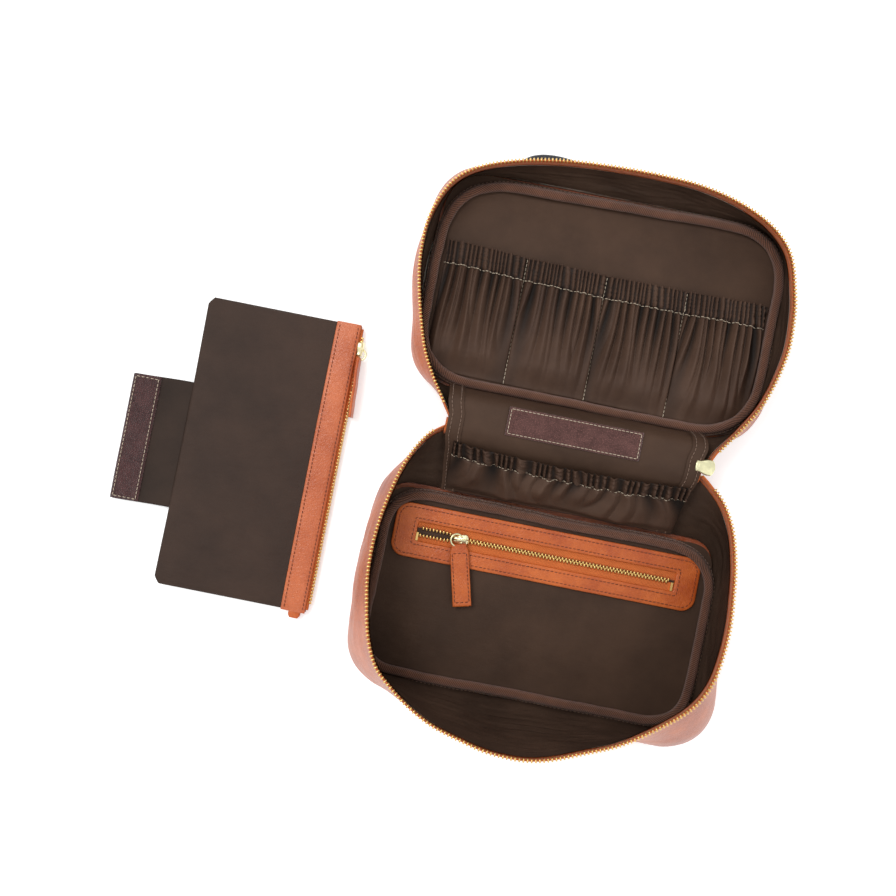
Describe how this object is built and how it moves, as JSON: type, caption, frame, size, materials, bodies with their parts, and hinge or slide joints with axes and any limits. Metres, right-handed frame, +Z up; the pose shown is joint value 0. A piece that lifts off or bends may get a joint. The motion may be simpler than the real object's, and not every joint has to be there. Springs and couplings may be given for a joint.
{
  "type": "toiletry bag",
  "caption": "Open leather toiletry bag with a zip-round hinged lid, gathered inner pockets, a zipped floor pocket and a removable zip pouch.",
  "frame": {"origin": "middle of the underside of the base, on the surface that the bag stands on", "axes": "+Z up, +Y from the front of the base to the hinge and the open lid, +X to the right as seen from the front; the loose pouch lies at -X"},
  "size_m": [0.4615, 0.4041, 0.0958],
  "materials": {
    "tan_leather": "aniline leather, satin gloss, fine grain",
    "brown_lining": "satin lining cloth",
    "brown_binding": "twill binding tape",
    "orange_tape": "woven zip tape",
    "brass": "bright gold plated teeth",
    "pale_gold": "pale gold plated slider",
    "hook_tape": "hook tape",
    "loop_tape": "loop tape",
    "pouch_cloth": "coated cloth",
    "board": "fibre board",
    "foam": "foam interlining",
    "dark_leather": "dark rolled leather",
    "gathered_cloth": "gathered satin lining cloth"
  },
  "bodies": {
    "base": {"base_leather_shell": "tan_leather", "base_foam": "foam", "base_lining": "brown_lining", "base_board": "board", "pocket_bag": "brown_lining", "floor_lining": "brown_lining", "floor_binding": "brown_binding", "pocket_frame": "tan_leather", "pocket_zip_tapes": "orange_tape", "pocket_zip_teeth": "brass", "pocket_zip_stops": "brass", "back_panel_base": "brown_lining", "back_pocket": "gathered_cloth", "back_pocket_elastic": "gathered_cloth", "back_side_strips": "brown_lining", "hinge_panel_base": "brown_lining", "base_zip_tape": "orange_tape", "base_zip_teeth": "brass"},
    "lid": {"lid_leather_shell": "tan_leather", "lid_foam": "foam", "lid_lining": "brown_lining", "lid_board": "board", "lid_panel_lining": "brown_lining", "lid_binding": "brown_binding", "back_panel_lid": "brown_lining", "hinge_panel_lid": "brown_lining", "hook_strip": "hook_tape", "lid_pocket": "gathered_cloth", "lid_pocket_elastic": "gathered_cloth", "handle_tabs": "tan_leather", "lid_zip_tape": "orange_tape", "lid_zip_teeth": "brass"},
    "handle": {"carry_handle": "dark_leather"},
    "main_slider": {"main_slider": "pale_gold", "main_pull_ring": "pale_gold"},
    "main_pull": {"main_pull_tab": "tan_leather"},
    "pocket_slider": {"pocket_slider": "pale_gold", "pocket_pull_ring": "pale_gold"},
    "pocket_pull": {"pocket_pull_tab": "tan_leather"},
    "pouch": {"pouch_bag": "pouch_cloth", "pouch_band_top": "tan_leather", "pouch_band_back": "tan_leather", "pouch_zip_tapes": "orange_tape", "pouch_zip_teeth": "brass", "pouch_zip_end_tab": "tan_leather"},
    "pouch_flap": {"pouch_flap": "pouch_cloth", "loop_strip": "loop_tape"},
    "pouch_slider": {"pouch_slider": "pale_gold", "pouch_pull_ring": "pale_gold"},
    "pouch_pull": {"pouch_pull_tab": "tan_leather"}
  },
  "joints": [
    {"name": "lid_hinge", "type": "hinge", "parent": "base", "child": "lid", "pos_m": [0, 0.116, 0.0375], "axis": [1, 0, 0], "range_deg": [0, 160]},
    {"name": "handle_swing", "type": "hinge", "parent": "lid", "child": "handle", "pos_m": [0, 0.228, 0.0035], "axis": [-1, 0, 0], "range_deg": [0, 165]},
    {"name": "main_slider_slide", "type": "slide", "parent": "base", "child": "main_slider", "axis": [1, 0, 0], "range_m": [0, 0.005]},
    {"name": "main_pull_swing", "type": "hinge", "parent": "main_slider", "child": "main_pull", "pos_m": [0.0915, 0.116, 0.02555], "axis": [0, -1, 0], "range_deg": [0, 115]},
    {"name": "pocket_slider_slide", "type": "slide", "parent": "base", "child": "pocket_slider", "axis": [1, 0, 0], "range_m": [-0.026, 0.148]},
    {"name": "pocket_pull_swing", "type": "hinge", "parent": "pocket_slider", "child": "pocket_pull", "pos_m": [-0.0665, 0.0295, 0.0139], "axis": [-1, 0, 0], "range_deg": [0, 100]},
    {"name": "pouch_lift", "type": "slide", "parent": "base", "child": "pouch", "axis": [0, 0, 1], "range_m": [0, 0.15]},
    {"name": "pouch_flap_fold", "type": "hinge", "parent": "pouch", "child": "pouch_flap", "pos_m": [-0.2799, 0.065, 0.0067], "axis": [0, 1, 0], "range_deg": [0, 150]},
    {"name": "pouch_slider_slide", "type": "slide", "parent": "pouch", "child": "pouch_slider", "axis": [0, 1, 0], "range_m": [-0.188, 0.008]},
    {"name": "pouch_pull_swing", "type": "hinge", "parent": "pouch_slider", "child": "pouch_pull", "pos_m": [-0.16185, 0.152, 0.0045], "axis": [0, 0, 1], "range_deg": [0, 80]}
  ]
}
